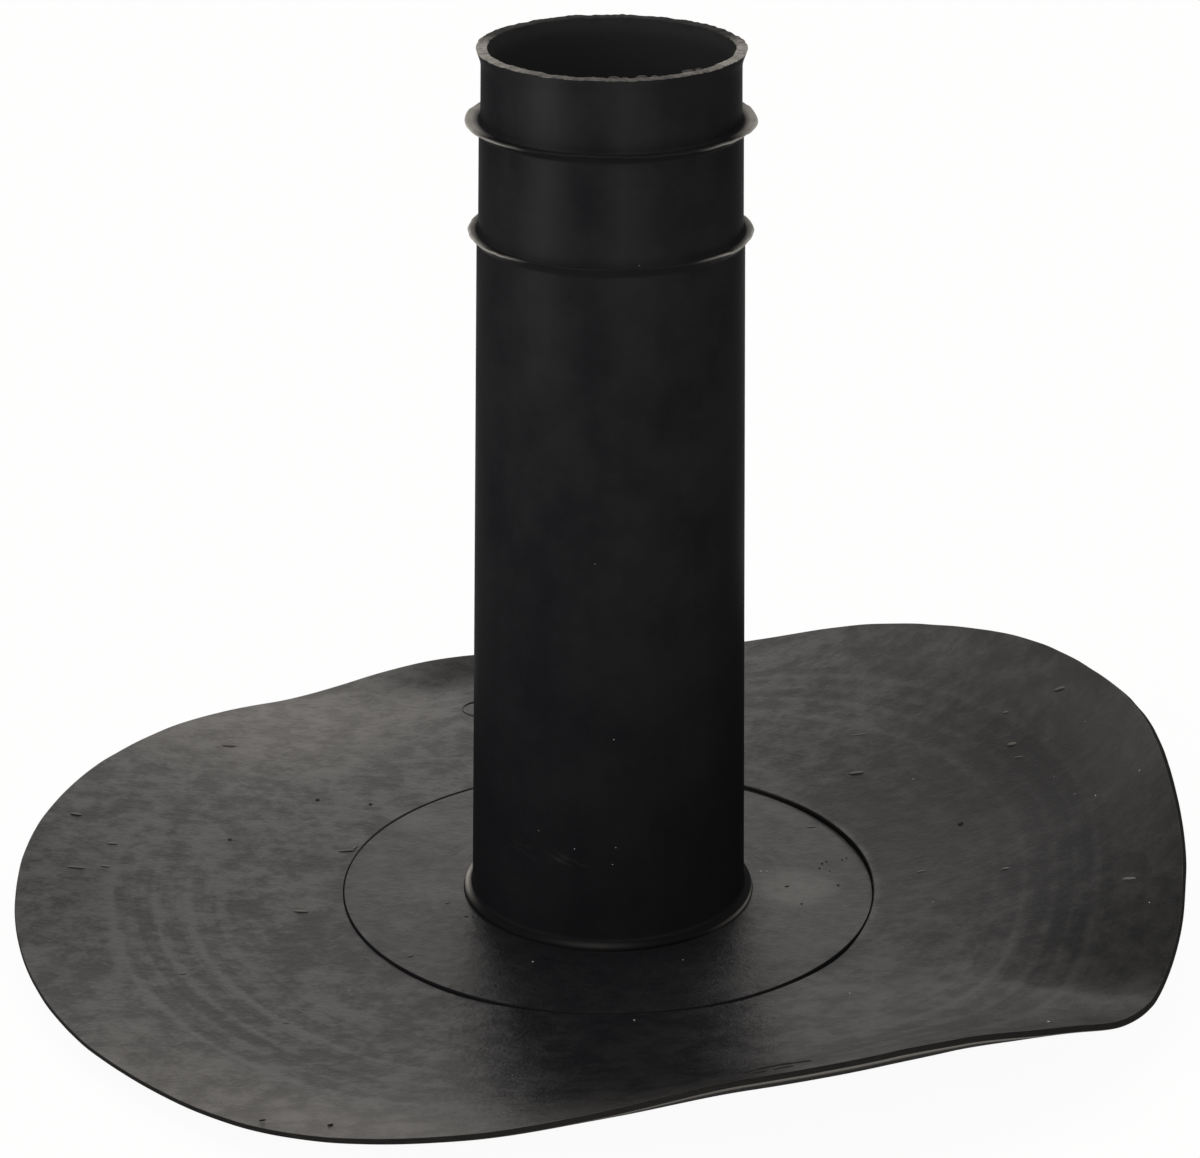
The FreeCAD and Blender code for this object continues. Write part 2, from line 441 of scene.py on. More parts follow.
def riseSine(rises, degrees):
    # sine of the sheet's rise: a smooth closed curve through the listed rises, cubic between them,
    # with a mean of the grades on both sides at each, and no grade at a crest or trough
    turns = np.array([pair[0] for pair in rises], dtype=float)
    sines = np.sin(np.radians([pair[1] for pair in rises]))
    gaps = (np.roll(turns, -1) - turns) % 360
    slopes = (np.roll(sines, -1) - sines) / gaps
    gapsBefore, slopesBefore = np.roll(gaps, 1), np.roll(slopes, 1)
    turning = slopesBefore * slopes <= 0
    before = (2 * gaps + gapsBefore) / np.where(turning, 1, slopesBefore)
    after = (gaps + 2 * gapsBefore) / np.where(turning, 1, slopes)
    grades = np.where(turning, 0, 3 * (gaps + gapsBefore) / (before + after))
    place = (degrees - turns[0]) % 360 + turns[0]
    here = np.searchsorted(turns, place, side="right") - 1
    beyond = (here + 1) % len(turns)
    share = (place - turns[here]) / gaps[here]
    ends = sines[here] + (sines[beyond] - sines[here]) * share ** 2 * (3 - 2 * share)
    return ends + gaps[here] * share * (1 - share) * (grades[here] * (1 - share) - grades[beyond] * share)


def smoothSine(rises, angle):
    # the same wave averaged over a short arc with weights 1, 4, 1
    degrees = np.degrees(angle)
    arc = flange["smoothing"]
    return (riseSine(rises, degrees - arc) + 4 * riseSine(rises, degrees) + riseSine(rises, degrees + arc)) / 6


def slopeSine(reach, angle):
    # slope of the sheet: a power of the reach past the curl's root, and more in the band at the rim
    share = np.maximum(reach - flange["curlRoot"], 0) / (flange["radius"] - flange["curlRoot"])
    edge = np.maximum(reach - flange["radius"] + flange["edgeBand"], 0) / flange["edgeBand"]
    offCrease = np.abs(turnGap(angle, flange["creaseAngle"]))
    crease = flange["creaseDepth"] * np.exp(-offCrease / flange["creaseWidth"])
    fade = flange["creaseFade"] * eased(reach, *flange["creaseFadeReach"])
    rim = smoothSine(flange["rimRises"], angle) - crease * (1 - fade)
    return rim * share ** flange["curlPower"] + smoothSine(flange["edgeRises"], angle) * edge ** 2


def sheetPoint(reach, angle, depth):
    # the sheet is summed outwards in short strides along its slope, so it keeps its length
    root, strides = flange["curlRoot"], flange["strides"]
    stride = (flange["radius"] - root) / strides
    middles = root + (np.arange(strides)[:, None] + 0.5) * stride
    sines = slopeSine(middles, angle)
    start = np.zeros((1, angle.shape[1]))
    outs = root + np.concatenate([start, np.cumsum(stride * np.sqrt(1 - sines ** 2), axis=0)])
    ups = np.concatenate([start, np.cumsum(stride * sines, axis=0)])
    place = np.clip((reach - root) / stride, 0, strides - 1e-6)
    first = np.floor(place).astype(int)
    share = place - first
    radius = np.take_along_axis(outs, first, 0) * (1 - share) + np.take_along_axis(outs, first + 1, 0) * share
    lift = np.take_along_axis(ups, first, 0) * (1 - share) + np.take_along_axis(ups, first + 1, 0) * share
    sine = slopeSine(reach, angle)
    radius = radius + depth * sine
    height = stem["discThickness"] - flange["drop"] + lift - depth * np.sqrt(1 - sine ** 2)
    height = height + edgePlaces(reach, angle, flange["bends"]) + spotPlaces(reach, angle, flange["dents"])
    return np.stack([radius * np.cos(angle), radius * np.sin(angle), height], axis=-1)


def sheetRipple(reach, angle):
    # faint rings left by the mould, strongest half way out, and a slight wobble nearer the rim
    swell = bell((reach - flange["ringReach"]) / flange["ringSpread"]) * (0.6 + 0.4 * roundNoise(angle, 9, 31))
    phase = reach / flange["ringPitch"] + 0.25 * roundNoise(angle, 14, 32)
    wobble = flange["wobble"] * bell((reach - 150) / 20) * roundNoise(angle, 40, 33)
    return flange["ringHeight"] * swell * np.sin(2 * np.pi * phase) + wobble


def buildFlange():
    # reach and depth run round the sheet's closed section: top, rim, underside, inner wall
    inner, outer, thick = flange["innerRadius"], flange["radius"], flange["thickness"]
    ease = flange["rimEase"]
    corners = [
        (inner, thick, 0.0, 0, flange["undersideRows"]),
        (outer, thick, ease, 3, 4),
        (outer, 0, ease, 3, flange["topRows"]),
        (inner, 0, 0.15, 2, 2),
    ]
    section = roundedLoop(corners)
    angle = np.linspace(0, 2 * np.pi, flange["columns"], endpoint=False)[None, :]
    reach = section[:, :1] + 0 * angle
    depth = section[:, 1:] + 0 * angle
    # top only: the groove round the disc, a low place at the disc's front right, a thinned rim at the left
    disc, width = stem["discRadius"], seamAt(angle, "width")
    groove = seamAt(angle, "depth") * (1 - eased(reach, disc + 0.55 * width, disc + width))
    groove = groove + 0.45 * bell(turnGap(angle, 312) / 36) * (1 - eased(reach, disc + 1, disc + 19))
    thinned = edgePlaces(reach, angle, flange["thinnedEdges"])
    depth = depth + (groove + thinned) * (1 - depth / thick)
    nearRim = np.clip((reach - outer + flange["trimFade"]) / flange["trimFade"], 0, 1) ** 2
    trim = roundWaves(angle, flange["trimWaves"]) - flange["trimCut"]
    points = sheetPoint(reach + nearRim * trim, angle, depth - sheetRipple(reach, angle))
    points[..., 2] = np.maximum(points[..., 2], flange["floorGap"])  # the lowest part rests flat on the floor
    piece = closedGrid("outletFlange", points)
    # marks: reach, dark cut rim, painted sheen, painted reflection in a pale strip below the rim, dulled right
    # side, painted shade, rings
    addMark(piece, "reach", reach)
    addMark(piece, "rimFace", (depth < thick - 0.15) * np.clip((reach - outer + 0.35) / 0.2, 0, 1))
    bloom = edgePlaces(reach, angle, flange["sheenEdges"]) + spotPlaces(reach, angle, flange["sheenSpots"])
    addMark(piece, "bloom", bloom)
    addMark(piece, "strip", edgePlaces(reach, angle, flange["reflectionEdges"]))
    addMark(piece, "dulled", edgePlaces(reach, angle, flange["dulledEdges"]))
    # painted shade: in the groove beside the disc, at a dark place at the back left and above the crease
    shaded = 1 - eased(reach, disc + 0.75 * width, disc + 1.15 * width)
    shaded = shaded + edgePlaces(reach, angle, flange["paintedShadeEdges"])
    aboveCrease = eased(turnGap(angle, flange["creaseAngle"]), -1.2, 1.4)
    addMark(piece, "soil", shaded + aboveCrease * edgePlaces(reach, angle, flange["creaseShade"]))
    ringShare = (0.2 + 0.8 * np.cos(angle) ** 2) * (0.55 + 0.45 * roundNoise(angle, 11, 35))
    ringShare = ringShare * (1 - 0.66 * bell(turnGap(angle, 5) / 60))
    addMark(piece, "ringBand", bell((reach - 131) / 24) * ringShare)
    # finishes: 0 top, 1 rim and underside
    onTop = np.maximum(section[:, 1], np.roll(section[:, 1], -1)) < 0.2
    finish = np.where(onTop, 0, 1).astype(np.int32)
    piece.data.polygons.foreach_set("material_index", np.repeat(finish, flange["columns"]))
    print("flange", len(section), "rows", 2 * len(section) * flange["columns"], "triangles")
    return piece


# nibs, scars, pores, crumbs and dust: small bodies on the sheet, the disc and the tube

nibs = {
    # reach, degrees, length, width, height, turn from +X
    "sheet": (
        (149.5, 143.0, 4.6, 1.3, 0.65, 2), (162.5, 168.8, 3.4, 1.2, 0.55, -4), (147.5, 173.8, 3.2, 1.0, 0.5, 3),
        (155.0, 180.3, 5.2, 0.9, 0.5, 1), (147.0, 179.3, 2.8, 0.9, 0.4, 0), (90.0, 191.3, 4.4, 1.1, 0.6, -3),
        (101.0, 40.8, 4.6, 1.4, 0.75, -6), (137.5, 24.3, 3.2, 1.7, 0.75, -22),
        (160.5, 26.0, 4.0, 1.5, 0.7, -18), (135.5, 21.0, 3.4, 0.7, 0.35, -20),
        (145.5, 30.5, 2.0, 1.0, 0.4, -20), (116.0, 355.0, 2.5, 1.0, 0.5, -16),
        (154.0, 345.3, 4.6, 1.1, 0.4, -26), (91.5, 0.8, 2.6, 0.8, 0.3, -4),
        (118.0, 48.0, 5.2, 0.7, 0.3, -8), (80.6, 164.6, 5.2, 1.0, 0.6, 12),
        (79.0, 162.6, 2.4, 0.8, 0.5, 62), (131.0, 206.0, 2.2, 0.7, 0.3, 10), (121.0, 224.0, 2.0, 0.7, 0.3, -12),
    ),
    # the same for dark scars
    "scars": (
        (108.0, 12.8, 1.7, 1.4, 0.6, 20), (115.5, 167.5, 1.3, 1.2, 0.4, 0), (104.5, 148.3, 1.4, 1.2, 0.45, 0),
        (90.0, 143.8, 1.2, 1.0, 0.4, 0), (168.0, 238.4, 1.8, 0.5, 0.35, 18), (163.5, 244.5, 1.6, 0.6, 0.35, 22),
        (141.0, 285.0, 5.5, 0.9, 0.5, 44), (138.5, 287.2, 6.0, 0.9, 0.5, 24), (138.0, 289.4, 6.0, 0.9, 0.5, 10),
        (139.5, 291.4, 5.0, 0.8, 0.4, 0), (146.0, 285.6, 5.0, 0.8, 0.4, 24), (146.0, 288.2, 6.0, 0.8, 0.4, 24),
    ),
    # x, y, length, width, height, turn
    "disc": (
        (61.1, 38.2, 3.2, 0.9, 0.35, 8), (-55.4, -44.4, 1.8, 0.8, 0.4, 15), (-46.4, -12.2, 1.4, 0.7, 0.3, 5),
    ),
    "pores": (
        (63.0, 13.7, 0.8, 0.7, 0.3, 0), (62.1, 10.7, 0.7, 0.7, 0.3, 0), (64.4, 15.0, 0.6, 0.6, 0.25, 0),
        (67.0, 0.0, 0.9, 0.8, 0.3, 20), (69.1, 16.3, 0.7, 0.6, 0.25, 0), (70.4, 17.4, 0.6, 0.6, 0.25, 0),
        (55.8, -11.9, 0.8, 0.7, 0.25, 0), (52.0, -0.9, 1.6, 0.7, 0.25, 25), (65.0, 9.0, 0.5, 0.5, 0.2, 0),
        (-40.6, -20.6, 1.0, 0.6, 0.25, 10), (-38.6, -21.0, 0.8, 0.6, 0.2, 0),
    ),
    # crumbs on the cut face: degrees, radius, length, width, height, turn
    "cut": (
        (271.0, 32.3, 3.0, 2.6, 0.6, 4), (276.0, 32.8, 1.8, 1.8, 0.5, -8), (284.0, 32.2, 3.0, 2.6, 0.6, 16),
        (290.0, 32.7, 1.6, 2.0, 0.5, 30), (308.0, 32.2, 3.8, 2.6, 0.6, 40), (314.0, 32.6, 2.2, 2.0, 0.5, 46),
        (262.0, 32.8, 1.8, 1.6, 0.5, -10), (226.0, 33.0, 2.0, 1.4, 0.5, -44),
    ),
    # how pale the top of each kind is painted: its own paler tone with painted light on top
    "paleness": {"sheet": 1.0, "scars": 0.08, "disc": 1.0, "pores": 0.0, "cut": 0.12},
    "squash": 0.75,
    "rings": 9,
    "columns": 16,
}

dust = {
    # reach, degrees, size
    "sheet": (
        (109.0, 31.0, 0.42), (147.0, 2.0, 0.42), (162.5, 0.0, 0.45), (141.5, 5.3, 0.3), (157.0, 17.3, 0.32),
        (95.0, 349.3, 0.3), (95.0, 314.3, 0.38), (154.0, 319.8, 0.6), (161.0, 341.3, 0.35), (82.5, 275.0, 0.42),
        (133.0, 195.0, 0.25), (96.0, 222.0, 0.3), (120.0, 258.0, 0.25), (139.0, 12.0, 0.25),
    ),
    # x, y, size
    "disc": ((44.7, 8.5, 0.7), (46.5, 8.8, 0.5), (-21.0, -47.5, 0.4), (21.0, -46.0, 0.25), (31.0, -45.0, 0.25)),
    # degrees, height, size
    "tube": (
        (-88.0, 68.3, 0.3), (-104.0, 34.4, 0.3), (-87.0, 35.4, 0.25), (-88.3, 30.2, 0.28),
        (-120.0, 38.0, 0.2), (-96.0, 120.0, 0.2), (-78.0, 203.5, 0.3),
    ),
    # half length, half width and height of a grain of size 1, and the turn from one grain to the next
    "grain": (0.62, 0.48, 0.40),
    "turn": 1.7,
    "rings": 5,
    "columns": 8,
}


def sheetFrames(spots):
    # middle and normal of the sheet at each reach and angle
    reach = np.array([[spot[0] for spot in spots]], dtype=float)
    angle = np.radians([[spot[1] for spot in spots]])
    middle = sheetPoint(reach, angle, 0)[0]
    outwards = sheetPoint(reach + 0.5, angle, 0)[0] - middle
    onwards = sheetPoint(reach, angle + 0.005, 0)[0] - middle
    normal = np.cross(outwards, onwards)
    return middle, normal / np.linalg.norm(normal, axis=1, keepdims=True)


def discFrames(spots):
    middle = np.array([(spot[0], spot[1], stem["discThickness"]) for spot in spots])
    return middle, np.tile([0.0, 0.0, 1.0], (len(spots), 1))


def cutFrames(spots):
    turn = np.radians([spot[0] for spot in spots])
    radius = np.array([spot[1] for spot in spots])
    middle = np.stack([radius * np.cos(turn), radius * np.sin(turn), 0 * turn + stem["height"] - 0.45], axis=-1)
    return middle, np.tile([0.0, 0.0, 1.0], (len(spots), 1))


def tubeFrames(spots):
    turn = np.radians([spot[0] for spot in spots])
    height = np.array([spot[1] for spot in spots])
    normal = np.stack([np.cos(turn), np.sin(turn), 0 * turn], axis=-1)
    passed = (height > stem["height"] - stem["lipSetbacks"][0]) * 1.0
    return normal * tubeRadius(height, passed)[:, None] + np.outer(height, (0, 0, 1)), normal


def smallBodies(middle, normal, halves, turns, rings, columns):
    # half-sunk ellipsoids: halves are half length, half width and height; turns set the long side's heading
    heading = np.stack([np.cos(turns), np.sin(turns), 0 * turns], axis=-1)
    along = heading - np.sum(heading * normal, axis=1, keepdims=True) * normal
    along = along / np.linalg.norm(along, axis=1, keepdims=True)
    across = np.cross(normal, along)
    swing = np.linspace(0.08, np.pi - 0.08, rings)
    reachOut, girth = -np.cos(swing), np.sin(swing) ** 0.8
    girdle = np.linspace(0, 2 * np.pi, columns, endpoint=False)
    length, width, height = (halves[:, part, None, None, None] for part in range(3))
    middle, along, across, normal = (way[:, None, None, :] for way in (middle, along, across, normal))
    side = width * np.cos(girdle)[:, None] * across
    rise = height * np.sin(girdle)[:, None] * normal
    return middle + length * reachOut[:, None, None] * along + girth[:, None, None] * (side + rise)


def buildNibs():
    kinds = (
        ("sheet", sheetFrames),
        ("scars", sheetFrames),
        ("disc", discFrames),
        ("pores", discFrames),
        ("cut", cutFrames),
    )
    crest = np.sin(np.linspace(0, 2 * np.pi, nibs["columns"], endpoint=False))
    groups, crests = [], []
    for kind, frames in kinds:
        spots, paleness = nibs[kind], nibs["paleness"][kind]
        middle, normal = frames(spots)
        halves = np.array([(spot[2] / 2, spot[3] / 2, spot[4] * nibs["squash"]) for spot in spots])
        turns = np.radians([spot[5] for spot in spots])
        groups.append(smallBodies(middle, normal, halves, turns, nibs["rings"], nibs["columns"]))
        crests.append(np.tile(paleness * eased(crest, 0.15, 0.85), len(spots) * nibs["rings"]))
    piece = cappedBodies("flangeNibs", np.concatenate(groups))
    addMark(piece, "crest", np.concatenate(crests))
    return piece


def buildDust():
    groups = []
    for kind, frames in (("sheet", sheetFrames), ("disc", discFrames), ("tube", tubeFrames)):
        spots = dust[kind]
        middle, normal = frames(spots)
        sizes = np.array([spot[2] for spot in spots])[:, None] * dust["grain"]
        turns = np.arange(len(spots)) * dust["turn"]
        groups.append(smallBodies(middle, normal, sizes, turns, dust["rings"], dust["columns"]))
    return cappedBodies("dustGrains", np.concatenate(groups))


witness = {"reach": 132.2, "degrees": 108.0, "radius": 6.5, "wire": 0.24, "columns": 64, "rows": 10}


def buildWitness():
    # small raised ring that the mould left behind the tube
    middle, normal = sheetFrames([(witness["reach"], witness["degrees"])])
    ahead = np.cross(normal[0], (1.0, 0.0, 0.0))
    ahead = ahead / np.linalg.norm(ahead)
    side = np.cross(ahead, normal[0])
    turn = np.linspace(0, 2 * np.pi, witness["columns"], endpoint=False)[None, :, None]
    swing = np.linspace(0, 2 * np.pi, witness["rows"], endpoint=False)[:, None, None]
    out = np.cos(turn) * side + np.sin(turn) * ahead
    points = middle[0] + out * (witness["radius"] + witness["wire"] * np.cos(swing))
    points = points + normal[0] * witness["wire"] * np.sin(swing)
    return closedGrid("witnessRing", points)


# shader helpers

class Wire:
    # one output socket; arithmetic on it adds Math nodes
    def __init__(self, bench, socket):
        self.bench = bench
        self.socket = socket

    def __add__(self, other):
        return self.bench.math("ADD", self, other)

    def __radd__(self, other):
        return self.bench.math("ADD", other, self)

    def __sub__(self, other):
        return self.bench.math("SUBTRACT", self, other)

    def __rsub__(self, other):
        return self.bench.math("SUBTRACT", other, self)

    def __mul__(self, other):
        return self.bench.math("MULTIPLY", self, other)

    def __rmul__(self, other):
        return self.bench.math("MULTIPLY", other, self)


class Bench:
    # the node tree of one material or world
    def __init__(self, owner):
        owner.use_nodes = True
        self.owner = owner
        self.tree = owner.node_tree
        self.tree.nodes.clear()

    def node(self, kind, settings=None, sockets=None, out=0):
        made = self.tree.nodes.new(kind)
        for key, value in (settings or {}).items():
            if key == "stops":
                self.setRamp(made.color_ramp, value)
            else:
                setattr(made, key, value)
        for key, value in (sockets or {}).items():
            if isinstance(value, Wire):
                self.tree.links.new(value.socket, made.inputs[key])
            else:
                made.inputs[key].default_value = value
        return Wire(self, made.outputs[out]) if made.outputs else made

    def setRamp(self, ramp, stops):
        while len(ramp.elements) < len(stops):
            ramp.elements.new(0.5)
        for element, (place, level) in zip(ramp.elements, stops):
            element.position = place
            element.color = (level, level, level, 1)

    def math(self, operation, *values):
        return self.node("ShaderNodeMath", {"operation": operation}, dict(enumerate(values)))

    def clamp(self, value, low, high):
        # 0 below low, 1 above high, eased between
        return self.node(
            "ShaderNodeMapRange",
            {"interpolation_type": "SMOOTHSTEP"},
            {"Value": value, "From Min": low, "From Max": high, "To Min": 0.0, "To Max": 1.0},
        )

    def size(self, value):
        return self.math("ABSOLUTE", value)

    def mixColour(self, factor, first, second, blend="MIX"):
        settings = {"data_type": "RGBA", "blend_type": blend}
        return self.node("ShaderNodeMix", settings, {0: factor, 6: first, 7: second}, 2)

    def mixShader(self, factor, first, second):
        return self.node("ShaderNodeMixShader", {}, {0: factor, 1: first, 2: second})

    def noise(self, vector, scale, detail=4.0, roughness=0.55):
        sockets = {"Vector": vector, "Scale": scale, "Detail": detail, "Roughness": roughness}
        return self.node("ShaderNodeTexNoise", {}, sockets)

    def stretch(self, vector, scale, turn=(0, 0, 0)):
        return self.node("ShaderNodeMapping", {}, {"Vector": vector, "Scale": scale, "Rotation": turn})

    def combine(self, x, y, z):
        return self.node("ShaderNodeCombineXYZ", {}, {0: x, 1: y, 2: z})

    def distance(self, vector, spot):
        return self.node("ShaderNodeVectorMath", {"operation": "DISTANCE"}, {0: vector, 1: spot}, "Value")

    def place(self, kind="Object"):
        return self.node("ShaderNodeTexCoord", {}, {}, kind)

    def mark(self, name):
        return self.node("ShaderNodeAttribute", {"attribute_name": name}, {}, "Fac")

    def bump(self, height, distance, normal=None):
        sockets = {"Height": height, "Distance": distance, "Strength": 1.0}
        if normal is not None:
            sockets["Normal"] = normal
        return self.node("ShaderNodeBump", {}, sockets)

    def rays(self, *kinds):
        # 1 for rays of the named kinds, 0 for others
        total = 0.0
        for kind in kinds:
            total = self.node("ShaderNodeLightPath", {}, {}, kind) + total
        return self.math("MINIMUM", total, 1.0)

    def principled(self, colour, roughness, ior, normal=None):
        sockets = {"Base Color": colour, "Roughness": roughness, "IOR": ior}
        if normal is not None:
            sockets["Normal"] = normal
        return self.node("ShaderNodeBsdfPrincipled", {}, sockets)

    def surface(self, shader):
        self.node("ShaderNodeOutputMaterial", {}, {"Surface": shader})
        return self.owner


# materials

tubeLook = {
    "dark": (0.0104, 0.0105, 0.0120, 1),
    "pale": (0.0182, 0.0182, 0.0198, 1),
    # colour of the painted shade on the flanks and at the foot
    "shade": (0.0062, 0.0063, 0.0076, 1),
    # colour of the painted highlights on the tube
    "bloom": (0.041, 0.040, 0.040, 1),
    # arc, half width and strength of painted highlights, pale bands that run down the tube
    "highlightBands": (
        (-21.0, 12.0, 0.46), (5.0, 12.0, 0.26), (-92.0, 15.0, 0.42), (88.0, 14.0, 0.38), (114.0, 12.0, 0.24),
    ),
    "bore": (0.027, 0.027, 0.028, 1),
    "cut": (0.30, 0.29, 0.27, 1),
    # arc from the front, height, heading, half length of each patch of scuffs
    "scuffs": ((-26.0, 31.4, -0.16, 7.0), (-11.0, 29.6, -0.36, 8.0)),
    "scuff": (0.06, 0.06, 0.06, 1),
    "flankShadeShare": 0.55,
    "footShadeShare": 0.45,
    "scuffShare": 0.55,
    "grain": 0.00004,  # depth of the fine grain in metres, here and in the looks below
    "ior": 1.025,
}


def tubeRubber():
    bench = Bench(bpy.data.materials.new("tubeRubber"))
    place = bench.place()
    cloud = bench.noise(place, 38.0, 7.0, 0.66)
    drawn = bench.noise(bench.stretch(place, (80, 80, 7)), 1.0, 4.0)
    tone = bench.clamp(0.75 * cloud + 0.25 * drawn, 0.32, 0.68)
    colour = bench.mixColour(tone, tubeLook["dark"], tubeLook["pale"])
    arc, rise = bench.mark("arc"), bench.mark("rise")
    # painted shade: darker at both flanks of the front and towards the foot
    flank = bench.clamp(bench.size(arc + 6.0), 26.0, 60.0) * (1.0 - bench.clamp(bench.size(arc), 64.0, 90.0))
    foot = 1.0 - bench.clamp(rise, 10.0, 170.0)
    colour = bench.mixColour(flank * tubeLook["flankShadeShare"], colour, tubeLook["shade"])
    colour = bench.mixColour(foot * tubeLook["footShadeShare"], colour, tubeLook["shade"])
    scuffed = 0.0
    for middle, height, heading, half in tubeLook["scuffs"]:
        along = (arc - middle) * math.cos(heading) + (rise - height) * math.sin(heading)
        across = (rise - height) * math.cos(heading) - (arc - middle) * math.sin(heading)
        lines = bench.noise(bench.combine(along * 0.10, across * 0.5, half), 1.0, 4.0, 0.65)
        inside = 1.0 - bench.clamp(bench.size(along), half * 0.4, half)
        inside = inside * (1.0 - bench.clamp(bench.size(across), 1.0, 3.2))
        scuffed = bench.clamp(lines, 0.46, 0.72) * inside + scuffed
    # painted highlights: pale bands down the upper part of the tube
    bloom = 0.0
    for middle, half, share in tubeLook["highlightBands"]:
        bloom = share * (1.0 - bench.clamp(bench.size(arc - middle), 0.0, half)) + bloom
    bloom = bloom * bench.clamp(rise, 140.0, 250.0) * (0.5 + drawn)
    colour = bench.mixColour(bloom, colour, tubeLook["bloom"])
    colour = bench.mixColour(scuffed * cloud * tubeLook["scuffShare"], colour, tubeLook["scuff"])
    colour = bench.mixColour(bench.mark("bore"), colour, tubeLook["bore"])
    fleck = bench.clamp(bench.noise(place, 900.0, 3.0), 0.30, 0.62)
    colour = bench.mixColour(bench.mark("cutFace") * (0.45 + 0.55 * fleck), colour, tubeLook["cut"])
    normal = bench.bump(bench.noise(place, 700.0, 3.0) + 3.0 * drawn, tubeLook["grain"])
    return bench.surface(bench.principled(colour, 0.34 + 0.16 * tone, tubeLook["ior"], normal))


flangeLook = {
    "dark": (0.0064, 0.0065, 0.0080, 1),
    "pale": (0.0086, 0.0086, 0.0099, 1),
    "ior": (1.34, 1.60),
    "chalk": (0.115, 0.114, 0.110, 1),
    # colour of the painted sheen
    "rim": (0.070, 0.067, 0.062, 1),
    # colours of the painted shade
    "soil": ((0.003, 0.003, 0.003, 1), (0.010, 0.010, 0.010, 1)),
    "paintedShadeIor": 1.03,
    # x, y, inner and outer radius in metres, strength of pale patches on the disc
    "patches": (
        (0.0545, -0.0015, 0.006, 0.0150, 0.42), (-0.058, 0.041, 0.001, 0.011, 0.12),
        (-0.051, -0.004, 0.001, 0.014, 0.10),
    ),
    # raggedness of their edges, depth of the mottled relief and of the fine grain, in metres
    "raggedness": 0.018,
    "relief": 0.00034,
    "grain": 0.00008,
}


def flangeRubber():
    bench = Bench(bpy.data.materials.new("flangeRubber"))
    place = bench.place()
    reach = bench.mark("reach")
    cloud = bench.noise(place, 17.0, 4.0, 0.55)
    blotch = bench.noise(place, 105.0, 8.0, 0.74)
    smear = bench.noise(bench.stretch(place, (90, 200, 150), (0, 0, 0.10)), 1.0, 5.0, 0.65)
    rings = bench.noise(bench.combine(reach * 0.22, cloud, 0.0), 1.0, 2.0, 0.5)
    ringBand = bench.mark("ringBand")
    dulled = bench.mark("dulled")
    # the disc is calmer than the sheet, with faint arcs wiped round the tube
    calm = 0.45 + 0.55 * bench.clamp(reach, 75.0, 79.0)
    arcs = bench.noise(bench.combine(reach * 0.3, cloud * 4.0, 5.0), 1.0, 3.0)
    wiped = (1.0 - bench.clamp(reach, 46.0, 68.0)) * (arcs - 0.5)
    mottle = (0.14 * cloud + 0.64 * blotch + 0.22 * smear - 0.5) * calm * (1.0 - 0.6 * dulled)
    tone = mottle + ringBand * (rings - 0.5) * 0.9 - 0.05 * dulled * dulled + wiped * 0.14 + 0.5
    tone = bench.clamp(tone, 0.42, 0.58)
    colour = bench.mixColour(tone, flangeLook["dark"], flangeLook["pale"])
    # painted sheen: pale zones towards the rim at the front left, at the back and at the right
    colour = bench.mixColour(bench.mark("bloom") * (0.4 + blotch), colour, flangeLook["rim"])
    top = stem["discThickness"] * mm
    for x, y, near, far, share in flangeLook["patches"]:
        gap = bench.distance(place, (x, y, top)) + (blotch - 0.5) * flangeLook["raggedness"]
        chalked = (share + 0.5 * share * smear) * (1.0 - bench.clamp(gap, near, far))
        colour = bench.mixColour(chalked, colour, flangeLook["chalk"])
    roughness = 0.27 + 0.14 * blotch + 0.10 * dulled
    normal = bench.bump(blotch + 0.2 * smear + ringBand * rings * 0.9, flangeLook["relief"])
    normal = bench.bump(bench.noise(place, 650.0, 3.0), flangeLook["grain"], normal)
    # two sheens of the same rubber, and painted shade as a dull dark layer in the groove and at a few places
    sheens = [bench.principled(colour, roughness, ior, normal) for ior in flangeLook["ior"]]
    rubber = bench.mixShader(tone, *sheens)
    paintedShadeColour = bench.mixColour(blotch, *flangeLook["soil"])
    soil = bench.principled(paintedShadeColour, roughness + 0.3, flangeLook["paintedShadeIor"])
    return bench.surface(bench.mixShader(bench.mark("soil"), rubber, soil))


lipLook = {
    # colour of the painted shade on the bead at the foot of the tube
    "foot": (0.0062, 0.0062, 0.0070, 1),
    "body": (0.0128, 0.0128, 0.0140, 1),
    # colour of the painted highlights
    "wing": (0.40, 0.39, 0.365, 1),
    "grain": 0.00004,
    "ior": 1.06,
}


def lipRubber():
    # painted highlights: the thin lips and the bead are painted pale where they catch the light
    bench = Bench(bpy.data.materials.new("lipRubber"))
    place = bench.place()
    cloud = bench.noise(place, 120.0, 4.0)
    wing = bench.mark("wing") * (0.6 + 0.8 * cloud)
    # painted shade: the bead near the disc takes the darker foot colour
    aboveBead = bench.clamp(bench.mark("rise"), 8.0, 20.0)
    colour = bench.mixColour(aboveBead, lipLook["foot"], lipLook["body"])
    colour = bench.mixColour(wing, colour, lipLook["wing"])
    normal = bench.bump(bench.noise(place, 700.0, 3.0), lipLook["grain"])
    return bench.surface(bench.principled(colour, 0.32 + 0.15 * cloud, lipLook["ior"], normal))


undersideLook = {
    "dusty": ((0.009, 0.009, 0.009, 1), (0.022, 0.021, 0.020, 1)),
    # colour of the painted reflection under the front rim
    "strip": (0.17, 0.165, 0.155, 1),
    "rim": ((0.0085, 0.0085, 0.0087, 1), (0.0200, 0.0196, 0.0190, 1)),
    "grain": 0.00006,
    "ior": 1.05,
}


